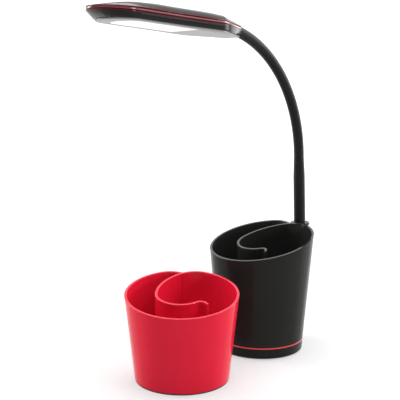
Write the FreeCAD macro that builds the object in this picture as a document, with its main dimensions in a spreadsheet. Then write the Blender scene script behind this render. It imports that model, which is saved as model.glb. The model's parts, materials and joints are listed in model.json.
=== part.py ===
"""Desk lamp that stands on a spiral pen cup, with a second, loose spiral cup.

The lamp is a drafted black cup whose rolled inner wall makes two pockets.  A weighted tray
closes it from below, and a gooseneck rises from a boss on its back and carries a flat,
boat-shaped light head over the desk.  The loose cup has the same form, lower and wider.

Frame: origin on the desk under the middle of the lamp cup, +Z up, the neck stands towards
+Y and the head points towards -Y.  Lengths are millimetres and angles are degrees.
"""
import FreeCAD, Part
import Sketcher
import math
import os

Vec = FreeCAD.Vector
Turn = FreeCAD.Rotation
Place = FreeCAD.Placement

doc = FreeCAD.newDocument("desk_lamp")
X_AXIS, Y_AXIS, Z_AXIS = Vec(1, 0, 0), Vec(0, 1, 0), Vec(0, 0, 1)

# ---------------------------------------------------------------------------
# Driving dimensions
# ---------------------------------------------------------------------------
SIZES = [
    # both cups
    ("rim_radius", 50.0, "outer radius at the middle of the rim"),
    ("cup_wall", 2.2, "wall of the cups"),
    ("cup_floor", 2.0, "floor of the cups"),
    ("lobe_angle", 25.0, "each side of the back, where the round wall starts to roll in"),
    ("lobe_radius", 22.5, "radius of the rolled-in lobes beside the notch"),
    ("curl_reach", 22.3, "how far left of the middle the curl swings"),
    ("curl_run_radius", 54.8, "long bend from the notch into the curl"),
    ("curl_radius", 21.5, "round part of the curl"),
    ("curl_sweep", 130.0, "angle of the round part of the curl"),
    ("hook_radius", 5.0, "bend of the lip that ends the curl"),
    ("hook_sweep", 95.0, "angle of the lip"),
    ("hook_tail", 3.0, "straight end of the lip"),
    ("hook_chamfer", 0.6, "cut-off corners of the lip"),
    # lamp cup and what is under it
    ("lamp_cup_height", 106.3, "middle of the sloping rim above the desk"),
    ("lamp_foot_radius", 40.8, "outer radius of the lamp's foot at the desk"),
    ("lamp_rim_slope", 13.2, "slope of the rim, high at the back"),
    ("lamp_floor_top", 24.0, "floor of the pockets above the desk"),
    ("pad_radius", 37.0, "rubber pad under the lamp"),
    ("pad_thickness", 1.5, "rubber pad under the lamp"),
    ("pad_clearance", 0.2, "gap round the pad"),
    ("tray_gap", 0.6, "gap between the tray and the desk"),
    ("tray_floor_top", 3.5, "inside of the tray's floor above the desk"),
    ("tray_top", 10.1, "top edge of the tray above the desk"),
    ("tray_wall", 2.2, "wall of the tray"),
    ("tray_chamfer", 0.7, "cut-off lower edge of the tray"),
    ("accent_height", 1.3, "height of the red line round the foot"),
    ("accent_width", 2.6, "radial width of the red ring"),
    ("ballast_radius", 27.0, "steel disc"),
    ("ballast_thickness", 7.0, "steel disc"),
    ("foot_screw_circle", 33.0, "radius of the circle of foot screws"),
    ("foot_screw_angle", 60.0, "direction of the first foot screw"),
    ("foot_boss_radius", 3.6, "screw boss under the cup's floor"),
    ("foot_screw_radius", 1.45, "shank of a foot screw"),
    ("foot_screw_length", 12.0, "shank of a foot screw"),
    ("foot_head_radius", 2.8, "head of a foot screw"),
    ("foot_head_height", 1.1, "head of a foot screw"),
    # electronics in the foot
    ("jack_angle", 125.0, "direction of the power inlet, from +X"),
    ("jack_height", 17.2, "axis of the power inlet above the desk"),
    ("jack_radius", 4.1, "round nose of the power inlet"),
    ("jack_bore_radius", 2.8, "opening of the power inlet"),
    ("jack_bore_depth", 9.0, "depth of the opening"),
    ("jack_pin_radius", 1.0, "centre pin of the power inlet"),
    ("jack_body_width", 9.0, "square body of the power inlet"),
    ("jack_body_length", 12.0, "square body of the power inlet"),
    ("jack_sunk", 0.3, "how far the inlet's face lies behind the cup's surface"),
    ("jack_wall_gap", 0.6, "from the square body to the cup's wall"),
    ("jack_pin_short", 1.5, "how far the pin ends behind the inlet's face"),
    ("board_length", 48.0, "driver board"),
    ("board_width", 20.0, "driver board"),
    ("board_thickness", 1.6, "driver board"),
    ("board_gap", 0.7, "air between ballast and board"),
    ("board_edge_gap", 4.8, "from the board's outer end to the cup's inner wall"),
    ("post_radius", 2.6, "posts that carry the board"),
    ("post_spread", 13.0, "distance between the two posts"),
    ("post_inset", 8.0, "from the posts to the board's inner end"),
    ("board_screw_radius", 1.2, "screws of the driver board"),
    ("board_screw_grip", 4.0, "how deep those screws go into the posts"),
    ("board_head_height", 1.4, "heads of those screws"),
    ("part_start", 11.0, "from the posts to the first part on the board"),
    ("coil_radius", 6.0, "round coil on the board"),
    ("coil_height", 5.0, "round coil on the board"),
    ("part_gap", 2.0, "from the coil to the parts beside it"),
    ("regulator_side", 6.0, "square chip on the board"),
    ("regulator_height", 1.6, "square chip on the board"),
    ("connector_long", 5.0, "wire connector on the board"),
    ("connector_wide", 7.0, "wire connector on the board"),
    ("connector_height", 6.0, "wire connector on the board"),
    ("part_side", 1.5, "from the board's middle line to the parts beside the coil"),
    # boss on the back of the cup, and the straight stem
    ("boss_radius", 8.7, "boss that holds the neck"),
    ("boss_top", 6.7, "top of the boss above the middle of the cup's rim"),
    ("boss_length", 38.0, "straight length of the boss"),
    ("boss_foot_depth", 4.5, "how far the boss stands out of the wall at its lower end"),
    ("boss_root", 35.0, "start of the boss's straight sides, inside the cup's wall"),
    ("neck_back", 61.4, "neck axis behind the cup's middle, at the boss top"),
    ("neck_lean", 2.8, "forward lean of the stem"),
    ("bush_radius", 5.6, "steel bush in the boss"),
    ("bush_length", 28.0, "steel bush in the boss"),
    ("fit_clearance", 0.05, "radial play of parts that are pushed together"),
    ("hole_clearance", 0.2, "radial play of screws in plain holes"),
    ("end_clearance", 0.5, "air at the end of screws and tubes"),
    ("wire_hole_radius", 2.0, "wire channel through the boss"),
    ("grub_radius", 1.5, "grub screw in the back of the boss"),
    ("grub_depth", 12.0, "grub screw below the boss top"),
    ("grub_sunk", 0.6, "how far the grub screw lies below the boss's surface"),
    ("collar_radius", 9.9, "flange on top of the boss"),
    ("collar_height", 2.5, "flange on top of the boss"),
    ("collar_chamfer", 0.5, "cut-off edges of the flange"),
    ("stem_radius", 5.75, "lower, thicker part of the sleeve"),
    ("stem_length", 72.5, "boss top to the first bend"),
    ("stem_taper_start", 50.0, "end of the thick part above the boss top"),
    ("stem_taper_end", 69.0, "start of the thin part above the boss top"),
    # flexible neck
    ("neck_radius", 5.0, "flexible sleeve"),
    ("neck_core_radius", 3.1, "steel core inside the sleeve"),
    ("neck_wire_radius", 1.6, "wire hole in the core"),
    ("bend_radius", 127.0, "curve of the neck at rest"),
    ("link_angle", 9.275, "arc of one link"),
    ("socket_clearance", 0.3, "air between ball and socket"),
    ("core_end_gap", 0.6, "core ends short of the middle of the link's ball"),
    # head
    ("head_pitch", 3.4, "how far the tip points up"),
    ("head_twist", 1.0, "how far the head is turned about its own length"),
    ("neck_entry", 7.1, "neck axis above the head's underside"),
    ("head_length", 162.4, "root to tip"),
    ("head_root_half", 8.5, "half width at the root"),
    ("shoulder_at", 38.5, "widest place, from the root"),
    ("shoulder_half", 26.5, "half width there"),
    ("waist_at", 92.0, "end of the slimming sides, from the root"),
    ("waist_half", 23.7, "half width there"),
    ("nose_at", 132.0, "start of the rounded nose, from the root"),
    ("nose_half", 23.3, "half width there"),
    ("crown_height", 16.3, "top of the head above its underside"),
    ("crown_rise", 62.0, "where the top reaches its full height, from the root"),
    ("crown_fall", 108.0, "where the top starts to fall to the tip, from the root"),
    ("keel_nose_gap", 9.4, "from the lower edge of the black shell's nose to the tip"),
    ("nose_wall", 6.0, "length of the shells' solid nose at the tip"),
    ("side_draft", 0.12, "inward slope of the sides below the red strip"),
    ("root_height", 11.6, "top at the root above the underside"),
    ("trim_middle", 8.1, "middle of the red strip above the underside"),
    ("trim_height", 2.7, "red strip"),
    ("trim_recess", 0.3, "how far the red strip lies back"),
    ("head_wall", 2.0, "wall of the head's shells"),
    ("frame_thickness", 1.3, "grey frame under the head"),
    ("frame_inset", 1.0, "grey frame inside the black shell's edge"),
    ("frame_nose_gap", 10.9, "from the frame's nose to the head's tip"),
    ("panel_start", 62.0, "straight end of the light panel, from the root"),
    ("panel_end", 25.4, "round end of the light panel, from the tip"),
    ("panel_half", 17.0, "half width of the light panel"),
    ("panel_nose", 14.0, "length of the rounded end of the panel"),
    ("panel_gap", 0.15, "gap round the diffuser"),
    ("panel_sunk", 0.1, "how far the diffuser lies above the frame's face"),
    ("panel_flange", 2.0, "diffuser's hidden edge above the frame"),
    ("diffuser_skin", 1.2, "thickness of the diffuser's flange"),
    ("reflector_height", 3.0, "white frame between diffuser and lamp board"),
    ("reflector_wall", 1.2, "white frame between diffuser and lamp board"),
    ("lamp_board_thickness", 1.0, "aluminium board with the lamps"),
    ("lamp_chip", 2.8, "side of one lamp"),
    ("lamp_chip_height", 0.7, "height of one lamp"),
    ("lamp_rows", 2.0, "rows of lamps"),
    ("lamp_columns", 8.0, "lamps in a row"),
    ("lamp_pitch", 8.0, "spacing along a row"),
    ("lamp_row_spread", 16.0, "spacing of the rows"),
    ("ferrule_wall", 0.8, "glossy ring where the neck enters the head"),
    ("ferrule_outside", 2.5, "part of the ring outside the head"),
    ("ferrule_tube", 0.6, "wall of the ring's tube inside the head"),
    ("ferrule_inside", 7.0, "length of that tube"),
    ("clamp_length", 11.0, "block that grips the tube"),
    ("clamp_half", 7.0, "half width of the block"),
    ("touch_at", 34.0, "touch sensor, from the root"),
    ("touch_radius", 7.0, "touch sensor under the top shell"),
    ("touch_thickness", 0.5, "touch sensor under the top shell"),
    # loose cup
    ("pot_height", 76.1, "middle of the sloping rim above the desk"),
    ("pot_foot_radius", 41.5, "outer radius at the desk"),
    ("pot_rim_slope", 9.6, "slope of the rim, high at the notch"),
    ("pot_foot_thickness", 1.3, "dark foot under the cup"),
    ("pot_foot_inset", 0.4, "dark foot inside the cup's edge"),
    ("pot_side", 5.0, "middle of the loose cup to the right of the lamp"),
    ("pot_front", 112.7, "middle of the loose cup in front of the lamp"),
    ("pot_turn", 44.0, "turn of the loose cup"),
]
LINKS = 8

sheet = doc.addObject("Spreadsheet::Sheet", "Sizes")
for row, (alias, value, note) in enumerate(SIZES, start=1):
    sheet.set(f"A{row}", alias)
    sheet.set(f"B{row}", str(value))
    sheet.set(f"C{row}", note)
    sheet.setAlias(f"B{row}", alias)
doc.recompute()


def size(alias):
    """One driving dimension, read from the sheet."""
    return float(sheet.get(alias))


# ---------------------------------------------------------------------------
# Helpers for document objects
# ---------------------------------------------------------------------------
parts = []
SPARE = 2.0   # how far cutting tools reach past what they cut
FAR = 400.0   # longer than any piece, for tools that cut everything on one side


def keep(item, label):
    """Name a finished piece; its label is also its file's name."""
    item.Label = label
    parts.append(item)
    return item


def bind(item, formulas):
    """Tie properties of an object to formulas over the sheet."""
    for prop, formula in formulas.items():
        item.setExpression(prop, formula)


def move(item, x="0", y="0", z="0"):
    """Tie the place of an object to three formulas."""
    bind(item, {"Placement.Base.x": x, "Placement.Base.y": y, "Placement.Base.z": z})
    return item


def cylinder(name, radius, height, x="0", y="0", z="0"):
    item = doc.addObject("Part::Cylinder", name)
    bind(item, {"Radius": radius, "Height": height})
    return move(item, x, y, z)


def cone(name, low, high, height, z="0"):
    item = doc.addObject("Part::Cone", name)
    bind(item, {"Radius1": low, "Radius2": high, "Height": height})
    return move(item, z=z)


def block(name, length, width, height, x="0", y="0", z="0"):
    item = doc.addObject("Part::Box", name)
    bind(item, {"Length": length, "Width": width, "Height": height})
    return move(item, x, y, z)


def hinge_bar(name, radius, z, tilt, sideways):
    """A round bar along a hinge's axis: X for a nodding hinge, across it for a sideways one."""
    item = doc.addObject("Part::Cylinder", name)
    bind(item, {"Radius": radius, "Height": "4 * Sizes.neck_radius"})
    way = Turn(X_AXIS, tilt - 90) if sideways else Turn(Y_AXIS, 90)
    item.Placement = Place(Vec(0, 0, z), way) * Place(Vec(0, 0, -2 * size("neck_radius")), Turn())
    return item


def fuse(name, *items):
    item = doc.addObject("Part::MultiFuse", name)
    item.Shapes = list(items)
    return item


def cut(name, base, *tools):
    item = doc.addObject("Part::Cut", name)
    item.Base = base
    item.Tool = tools[0] if len(tools) == 1 else fuse(name + "_tools", *tools)
    return item


def common(name, *items):
    item = doc.addObject("Part::MultiCommon", name)
    item.Shapes = list(items)
    return item


def nose(name, z, tilt, sideways):
    """Rounded end of a neck piece, which turns in the socket of the next one."""
    tip = cylinder(name + "_tip", "Sizes.neck_radius", "Sizes.neck_radius", z=str(z))
    return common(name, tip, hinge_bar(name + "_round", "Sizes.neck_radius", z, tilt, sideways))


def group(name, *items):
    """Separate solids that share one node."""
    item = doc.addObject("Part::Compound", name)
    item.Links = list(items)
    return item


def shaped(name, shape, placement=None):
    """A piece whose form no single feature gives."""
    item = doc.addObject("Part::Feature", name)
    item.Shape = shape
    if placement is not None:
        item.Placement = placement
    return item


def padded_body(name, outline, length, z="0", holes=()):
    """A PartDesign body: one sketch on the XY plane, padded upwards.

    outline and holes are lists of ("circle", x, y, radius) or ("box", x, y, long, wide),
    all as formulas, where x and y are the middle of the figure.
    """
    body = doc.addObject("PartDesign::Body", name)
    plane = [f for f in body.Origin.OriginFeatures if f.Role == "XY_Plane"][0]
    sketch = body.newObject("Sketcher::SketchObject", name + "_sketch")
    sketch.AttachmentSupport = [(plane, "")]
    sketch.MapMode = "FlatFace"
    sketch.setExpression("AttachmentOffset.Base.z", z)
    for figure in [outline, *holes]:
        draw_figure(sketch, figure)
    pad = body.newObject("PartDesign::Pad", name + "_pad")
    pad.Profile = sketch
    pad.setExpression("Length", length)
    return body


def datum(sketch, constraint, formula):
    index = sketch.addConstraint(constraint)
    sketch.setExpression(f"Constraints[{index}]", formula)


def draw_figure(sketch, figure):
    """Draw one circle or box whose constraints follow the sheet."""
    kind, x, y = figure[:3]
    origin = (-1, 1)
    if kind == "circle":
        item = sketch.addGeometry(Part.Circle(Vec(1, 1, 0), Z_AXIS, 1.0))
        datum(sketch, Sketcher.Constraint("Radius", item, 1.0), figure[3])
        datum(sketch, Sketcher.Constraint("DistanceX", *origin, item, 3, 1.0), x)
        datum(sketch, Sketcher.Constraint("DistanceY", *origin, item, 3, 1.0), y)
        return
    corners = [Vec(1, 1, 0), Vec(3, 1, 0), Vec(3, 2, 0), Vec(1, 2, 0)]
    first = sketch.GeometryCount
    for start, end in zip(corners, corners[1:] + corners[:1]):
        sketch.addGeometry(Part.LineSegment(start, end))
    for side in range(4):
        following = first + (side + 1) % 4
        sketch.addConstraint(Sketcher.Constraint("Coincident", first + side, 2, following, 1))
        level = "Horizontal" if side % 2 == 0 else "Vertical"
        sketch.addConstraint(Sketcher.Constraint(level, first + side))
    long, wide = figure[3:]
    datum(sketch, Sketcher.Constraint("DistanceX", first, 1, first, 2, 2.0), long)
    datum(sketch, Sketcher.Constraint("DistanceY", first + 1, 1, first + 1, 2, 1.0), wide)
    datum(sketch, Sketcher.Constraint("DistanceX", *origin, first, 1, 1.0), f"{x} - ({long}) / 2")
    datum(sketch, Sketcher.Constraint("DistanceY", *origin, first, 1, 1.0), f"{y} - ({wide}) / 2")


def ring_point(radius, degrees):
    angle = math.radians(degrees)
    return Vec(radius * math.cos(angle), radius * math.sin(angle), 0)


# ---------------------------------------------------------------------------
# Spiral cups
# ---------------------------------------------------------------------------
def spiral_cup_outline(scale, notch, inset, height):
    """Closed plan of the round wall, rolled in on both sides of the notch at +Y.

    notch runs from 0, a plain circle, to 1, the full notch of the rim.
    """
    radius = size("rim_radius") * scale
    lobe = radius + (size("lobe_radius") * scale - radius) * notch
    away = radius - lobe
    start = 90.0 - size("lobe_angle")
    middle = ring_point(away, start)
    wall, lobe = radius - inset, lobe - inset
    notch_y = middle.y + math.sqrt(lobe**2 - middle.x**2)
    notch_angle = math.degrees(math.atan2(notch_y - middle.y, -middle.x))
    bottom = Vec(0, notch_y, 0)
    right = middle + ring_point(lobe, start)
    halfway = middle + ring_point(lobe, (start + notch_angle) / 2)
    left = Vec(-right.x, right.y, 0)
    edges = [
        Part.Arc(bottom, halfway, right).toShape(),
        Part.Arc(right, Vec(0, -wall, 0), left).toShape(),
        Part.Arc(left, Vec(-halfway.x, halfway.y, 0), bottom).toShape(),
    ]
    wire = Part.Wire(edges)
    wire.translate(Vec(0, 0, height))
    return wire, notch_y


def curl_side(start_radius, offset):
    """One face of the curl in plan, from the notch to the tail of its lip."""
    reach, run, bend = size("curl_reach"), size("curl_run_radius"), size("curl_radius")
    hook = size("hook_radius")
    run_middle = Vec(run - reach, 0, 0)
    start_x = (start_radius**2 + run_middle.x**2 - run**2) / (2 * run_middle.x)
    start = math.degrees(math.acos((start_x - run_middle.x) / run))
    bend_middle = Vec(bend - reach, 0, 0)
    leave = 180.0 + size("curl_sweep")
    hook_middle = bend_middle + ring_point(bend + hook, leave)
    hook_start = leave - 180.0
    hook_end = hook_start - size("hook_sweep")
    edges, ends = [], []
    for middle, radius, first, last in [
        (run_middle, run - offset, start, 180.0),
        (bend_middle, bend - offset, 180.0, leave),
        (hook_middle, hook + offset, hook_start, hook_end),
    ]:
        points = [middle + ring_point(radius, a) for a in (first, (first + last) / 2, last)]
        edges.append(Part.Arc(*points).toShape())
        ends.append(points[2])
        if len(ends) == 1:
            beginning = points[0]
    heading = ring_point(1.0, hook_end - 90.0)
    tip = ends[-1] + heading * size("hook_tail")
    edges.append(Part.LineSegment(ends[-1], tip).toShape())
    return edges, beginning, tip, heading


def curl_outline(start_radius):
    """Closed plan of the curl, one wall thick, with both corners of its lip cut off."""
    half = size("cup_wall") / 2
    left, left_start, left_tip, heading = curl_side(start_radius, half)
    right, right_start, right_tip, _ = curl_side(start_radius, -half)
    middle = (left_tip + right_tip) * 0.5 + heading * size("hook_chamfer")
    inwards = 1 - size("hook_chamfer") / half
    corners = [left_tip, middle + (left_tip - right_tip) * 0.5 * inwards,
               middle - (left_tip - right_tip) * 0.5 * inwards, right_tip]
    end = [Part.LineSegment(*pair).toShape() for pair in zip(corners, corners[1:])]
    start = Part.LineSegment(right_start, left_start).toShape()
    return Part.Wire(left + end + right[::-1] + [start])


def above_plane(middle, tilt):
    """Everything above a plane that is turned about X."""
    item = Part.makeBox(FAR, FAR, FAR, Vec(-FAR / 2, -FAR / 2, 0))
    item.Placement = Place(middle, Turn(X_AXIS, tilt))
    return item


def spiral_cup(height, foot_radius, slope, low, floor_top, extra=None):
    """Outer wall, floor and curl of a cup, drafted towards its foot and cut by its rim."""
    slope_rise = math.tan(math.radians(slope))
    high = height + slope_rise * size("rim_radius") + SPARE
    draft = (size("rim_radius") - foot_radius) / height

    def level(z, inset):
        scale = (foot_radius + draft * z) / size("rim_radius")
        return spiral_cup_outline(scale, min(z / height, 1.0), inset, z)

    outside = Part.makeLoft([level(low, 0)[0], level(high, 0)[0]], True, True)
    if extra is not None:
        outside = outside.fuse(extra)
    wall = size("cup_wall")
    high_wire, high_notch = level(high, wall)
    hollow = Part.makeLoft([level(floor_top, wall)[0], high_wire], True, True)
    curl = Part.Face(curl_outline(high_notch + wall / 2)).extrude(Vec(0, 0, high - floor_top))
    curl.translate(Vec(0, 0, floor_top))
    body = outside.cut(hollow.cut(curl))
    return body.cut(above_plane(Vec(0, 0, height), slope)).removeSplitter()


# ---------------------------------------------------------------------------
# Neck frame: the stem's axis starts at the boss top and leans forward
# ---------------------------------------------------------------------------
boss_top = Vec(0, size("neck_back"), size("lamp_cup_height") + size("boss_top"))
stem_place = Place(boss_top, Turn(X_AXIS, size("neck_lean")))
BUSH_BOTTOM = "-Sizes.bush_length"


def wall_radius(height):
    """Formula of the lamp foot's outer radius at a height above the desk."""
    draft = "(Sizes.rim_radius - Sizes.lamp_foot_radius) / Sizes.lamp_cup_height"
    return f"Sizes.lamp_foot_radius + {draft} * ({height})"


def lamp_radius(height):
    draft = (size("rim_radius") - size("lamp_foot_radius")) / size("lamp_cup_height")
    return size("lamp_foot_radius") + draft * height


CUP_BOTTOM = size("tray_top") + size("accent_height")
SCREWS = 3
SCREW_STEP = 360 / SCREWS
screw_angles = [size("foot_screw_angle") + SCREW_STEP * turn for turn in range(SCREWS)]
FLOOR_UNDER = size("lamp_floor_top") - size("cup_floor")


def boss_section(middle, lean):
    """Plan of the boss: round at the back, straight sides that run into the cup."""
    radius = size("boss_radius")
    front = size("neck_back") - size("boss_root")
    right, left = Vec(radius, 0, 0), Vec(-radius, 0, 0)
    edges = [
        Part.Arc(right, Vec(0, radius, 0), left).toShape(),
        Part.LineSegment(left, left - Vec(0, front, 0)).toShape(),
        Part.LineSegment(left - Vec(0, front, 0), right - Vec(0, front, 0)).toShape(),
        Part.LineSegment(right - Vec(0, front, 0), right).toShape()]
    wire = Part.Wire(edges)
    wire.Placement = Place(middle, Turn(X_AXIS, lean))
    return wire


def boss_post(foot, top, over):
    """Straight piece of the boss from foot to top, longer by over at both ends."""
    way = (top - foot).normalize()
    tilt = math.degrees(math.atan2(-way.y, way.z))
    section = Part.Face(boss_section(foot - way * over, tilt))
    return section.extrude(way * (top.distanceToPoint(foot) + 2 * over)), tilt


def neck_boss():
    """Boss on the back of the cup: a leaning post, mitred to one that slopes to the foot."""
    top = stem_place.Base
    knee = stem_place.multVec(Vec(0, 0, -size("boss_length")))
    foot_y = lamp_radius(CUP_BOTTOM) + size("boss_foot_depth") - size("boss_radius")
    foot = Vec(0, foot_y, CUP_BOTTOM)
    upper, upper_tilt = boss_post(knee, top, size("boss_radius"))
    lower, lower_tilt = boss_post(foot, knee, size("boss_radius"))
    over_knee = above_plane(knee, (upper_tilt + lower_tilt) / 2)
    upper = upper.common(over_knee).cut(above_plane(top, upper_tilt))
    lower = lower.common(above_plane(foot, 0.0)).cut(over_knee)
    return upper.fuse(lower)


def lamp_cup():
    """The black cup with its boss, the screw bosses under its floor and all its holes."""
    body = spiral_cup(
        size("lamp_cup_height"), size("lamp_foot_radius"), size("lamp_rim_slope"),
        CUP_BOTTOM, size("lamp_floor_top"), neck_boss())
    wall = size("cup_wall")
    room = Part.makeCone(
        lamp_radius(CUP_BOTTOM) - wall, lamp_radius(FLOOR_UNDER) - wall,
        FLOOR_UNDER - CUP_BOTTOM, Vec(0, 0, CUP_BOTTOM))
    body = body.cut(room)
    boss_height = FLOOR_UNDER - size("tray_floor_top")
    for angle in screw_angles:
        at = ring_point(size("foot_screw_circle"), angle) + Vec(0, 0, size("tray_floor_top"))
        body = body.fuse(Part.makeCylinder(size("foot_boss_radius"), boss_height, at))
    pilot = size("foot_screw_radius") + size("fit_clearance")
    for angle in screw_angles:
        at = ring_point(size("foot_screw_circle"), angle) + Vec(0, 0, size("tray_floor_top"))
        body = body.cut(Part.makeCylinder(pilot, size("foot_screw_length"), at))
    bore = Part.makeCylinder(
        size("bush_radius") + size("fit_clearance"), size("bush_length"),
        Vec(0, 0, -size("bush_length")))
    bore.Placement = stem_place
    channel_top = stem_place.multVec(Vec(0, 0, -size("bush_length")))
    channel_end = Vec(0, lamp_radius(FLOOR_UNDER) - 2 * wall, FLOOR_UNDER - wall)
    channel_way = channel_end - channel_top
    channel = Part.makeCylinder(
        size("wire_hole_radius"), channel_way.Length, channel_top, channel_way)
    grub = Part.makeCylinder(
        size("grub_radius") + size("fit_clearance"), 2 * size("boss_radius"),
        Vec(0, 0, -size("grub_depth")), Y_AXIS)
    grub.Placement = stem_place
    out = ring_point(1, size("jack_angle"))
    nose = Part.makeCylinder(
        size("jack_radius") + size("fit_clearance"), size("rim_radius"),
        Vec(0, 0, size("jack_height")), out)
    for tool in (bore, channel, grub, nose):
        body = body.cut(tool)
    return body


keep(shaped("LampCup", lamp_cup()), "lamp_cup")

# ---------------------------------------------------------------------------
# Foot of the lamp
# ---------------------------------------------------------------------------
keep(cylinder("Pad", "Sizes.pad_radius", "Sizes.pad_thickness"), "base_pad")


def screw_place(number):
    """Formulas of a foot screw's place in plan."""
    turn = f"Sizes.foot_screw_angle + {SCREW_STEP * number}"
    return f"Sizes.foot_screw_circle * cos({turn})", f"Sizes.foot_screw_circle * sin({turn})"


def turned(along, across):
    """Formulas of a point given along and across the power inlet's direction."""
    cosine, sine = "cos(Sizes.jack_angle)", "sin(Sizes.jack_angle)"
    return (f"({along}) * {cosine} - ({across}) * {sine}",
            f"({along}) * {sine} + ({across}) * {cosine}")


BOARD_Z = "Sizes.tray_floor_top + Sizes.ballast_thickness + Sizes.board_gap"
ROOM_RADIUS = f"({wall_radius('Sizes.tray_top + Sizes.accent_height')}) - Sizes.cup_wall"
BOARD_OUTER = f"({ROOM_RADIUS}) - Sizes.board_edge_gap"
POST_ALONG = f"{BOARD_OUTER} - Sizes.board_length + Sizes.post_inset"
post_places = [turned(POST_ALONG, f"{side} * Sizes.post_spread / 2") for side in (1, -1)]


def base_tray():
    """Moulded tray: cone outside, recess for the pad, posts for the board."""
    outside = cone("TrayOutside", wall_radius("Sizes.tray_gap"), wall_radius("Sizes.tray_top"),
                   "Sizes.tray_top - Sizes.tray_gap", z="Sizes.tray_gap")
    chamfered = doc.addObject("Part::Chamfer", "TrayChamfered")
    chamfered.Base = outside
    doc.recompute()
    lowest = min(range(len(outside.Shape.Edges)),
                 key=lambda i: outside.Shape.Edges[i].CenterOfMass.z)
    chamfered.Edges = [(lowest + 1, size("tray_chamfer"), size("tray_chamfer"))]
    inside = cone(
        "TrayInside", f"({wall_radius('Sizes.tray_floor_top')}) - Sizes.tray_wall",
        f"({wall_radius('Sizes.tray_top')}) - Sizes.tray_wall",
        "Sizes.tray_top - Sizes.tray_floor_top", z="Sizes.tray_floor_top")
    recess = cylinder("TrayRecess", "Sizes.pad_radius + Sizes.pad_clearance",
                      "Sizes.pad_thickness")
    posts, holes = [], []
    for number, (x, y) in enumerate(post_places, start=1):
        posts.append(cylinder(f"TrayPost{number}", "Sizes.post_radius",
                              f"{BOARD_Z} - Sizes.tray_floor_top", x, y,
                              "Sizes.tray_floor_top"))
        holes.append(cylinder(f"TrayPilot{number}",
                              "Sizes.board_screw_radius + Sizes.fit_clearance",
                              "Sizes.ballast_thickness", x, y,
                              f"{BOARD_Z} - Sizes.ballast_thickness"))
    for number in range(SCREWS):
        x, y = screw_place(number)
        holes.append(cylinder(f"TrayHole{number}",
                              "Sizes.foot_screw_radius + Sizes.hole_clearance",
                              "Sizes.tray_floor_top", x, y))
        holes.append(cylinder(f"TrayCounterbore{number}",
                              "Sizes.foot_head_radius + Sizes.hole_clearance",
                              "Sizes.pad_thickness + Sizes.foot_head_height", x, y))
    hollowed = cut("TrayHollow", chamfered, inside, recess)
    return cut("Tray", fuse("TrayWithPosts", hollowed, *posts), *holes)


keep(base_tray(), "base_tray")

SCREW_END = "Sizes.tray_floor_top + Sizes.foot_screw_length - Sizes.end_clearance"
screws = []
for number in range(SCREWS):
    x, y = screw_place(number)
    seat = "Sizes.pad_thickness + Sizes.foot_head_height"
    head = cylinder(f"FootScrewHead{number}", "Sizes.foot_head_radius",
                    "Sizes.foot_head_height - Sizes.fit_clearance", x, y,
                    "Sizes.pad_thickness + Sizes.fit_clearance")
    shank = cylinder(f"FootScrewShank{number}", "Sizes.foot_screw_radius",
                     f"{SCREW_END} - ({seat})", x, y, seat)
    screws.append(fuse(f"FootScrew{number}", head, shank))
keep(group("FootScrews", *screws), "base_screws")

accent_low = wall_radius("Sizes.tray_top")
accent_high = wall_radius("Sizes.tray_top + Sizes.accent_height")
keep(cut("AccentRing",
         cone("AccentOutside", accent_low, accent_high, "Sizes.accent_height",
              z="Sizes.tray_top"),
         cylinder("AccentInside", f"{accent_low} - Sizes.accent_width", "Sizes.accent_height",
                  z="Sizes.tray_top")), "accent_ring")

post_holes = [("circle", x, y, "Sizes.post_radius + Sizes.hole_clearance")
              for x, y in post_places]
keep(padded_body("Ballast", ("circle", "0", "0", "Sizes.ballast_radius"),
                 "Sizes.ballast_thickness", "Sizes.tray_floor_top", post_holes), "ballast_disc")

# ---------------------------------------------------------------------------
# Driver board and power inlet, made along X and turned to the inlet's direction
# ---------------------------------------------------------------------------
inlet_place = Place(Vec(0, 0, 0), Turn(Z_AXIS, size("jack_angle")))


def to_inlet(item, label):
    """Turn a piece that was made along X; a cut or a fuse carries its own place."""
    doc.recompute()
    item.Placement = inlet_place
    return keep(item, label)


board_holes = [("circle", POST_ALONG, f"{side} * Sizes.post_spread / 2",
                "Sizes.board_screw_radius + Sizes.hole_clearance") for side in (1, -1)]
to_inlet(padded_body(
    "DriverBoard", ("box", f"{BOARD_OUTER} - Sizes.board_length / 2", "0",
                    "Sizes.board_length", "Sizes.board_width"),
    "Sizes.board_thickness", BOARD_Z, board_holes), "driver_board")

BOARD_TOP = f"{BOARD_Z} + Sizes.board_thickness"
JACK_FACE = f"({wall_radius('Sizes.jack_height')})"
JACK_FRONT = f"({JACK_FACE} - Sizes.jack_sunk)"
JACK_BACK = f"({ROOM_RADIUS} - Sizes.jack_wall_gap - Sizes.jack_body_length)"
JACK_DEEP = f"{JACK_FRONT} - Sizes.jack_bore_depth"


def lying_cylinder(name, radius, length, x, z):
    """A cylinder along +X."""
    item = cylinder(name, radius, length, x, "0", z)
    item.Placement = Place(item.Placement.Base, Turn(Y_AXIS, 90))
    return item


jack_body = block("JackBody", "Sizes.jack_body_length", "Sizes.jack_body_width",
                  f"Sizes.jack_height + Sizes.jack_body_width / 2 - ({BOARD_TOP})",
                  JACK_BACK, "-Sizes.jack_body_width / 2", BOARD_TOP)
jack_nose = lying_cylinder("JackNose", "Sizes.jack_radius", f"{JACK_FRONT} - {JACK_BACK}",
                           JACK_BACK, "Sizes.jack_height")
jack_bore = lying_cylinder("JackBore", "Sizes.jack_bore_radius", "2 * Sizes.jack_bore_depth",
                           JACK_DEEP, "Sizes.jack_height")
to_inlet(cut("Jack", fuse("JackSolid", jack_body, jack_nose), jack_bore), "power_jack")
jack_pin = lying_cylinder("JackPin", "Sizes.jack_pin_radius",
                          "Sizes.jack_bore_depth - Sizes.jack_pin_short", JACK_DEEP,
                          "Sizes.jack_height")
to_inlet(group("JackPinTurned", jack_pin), "jack_pin")

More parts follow.
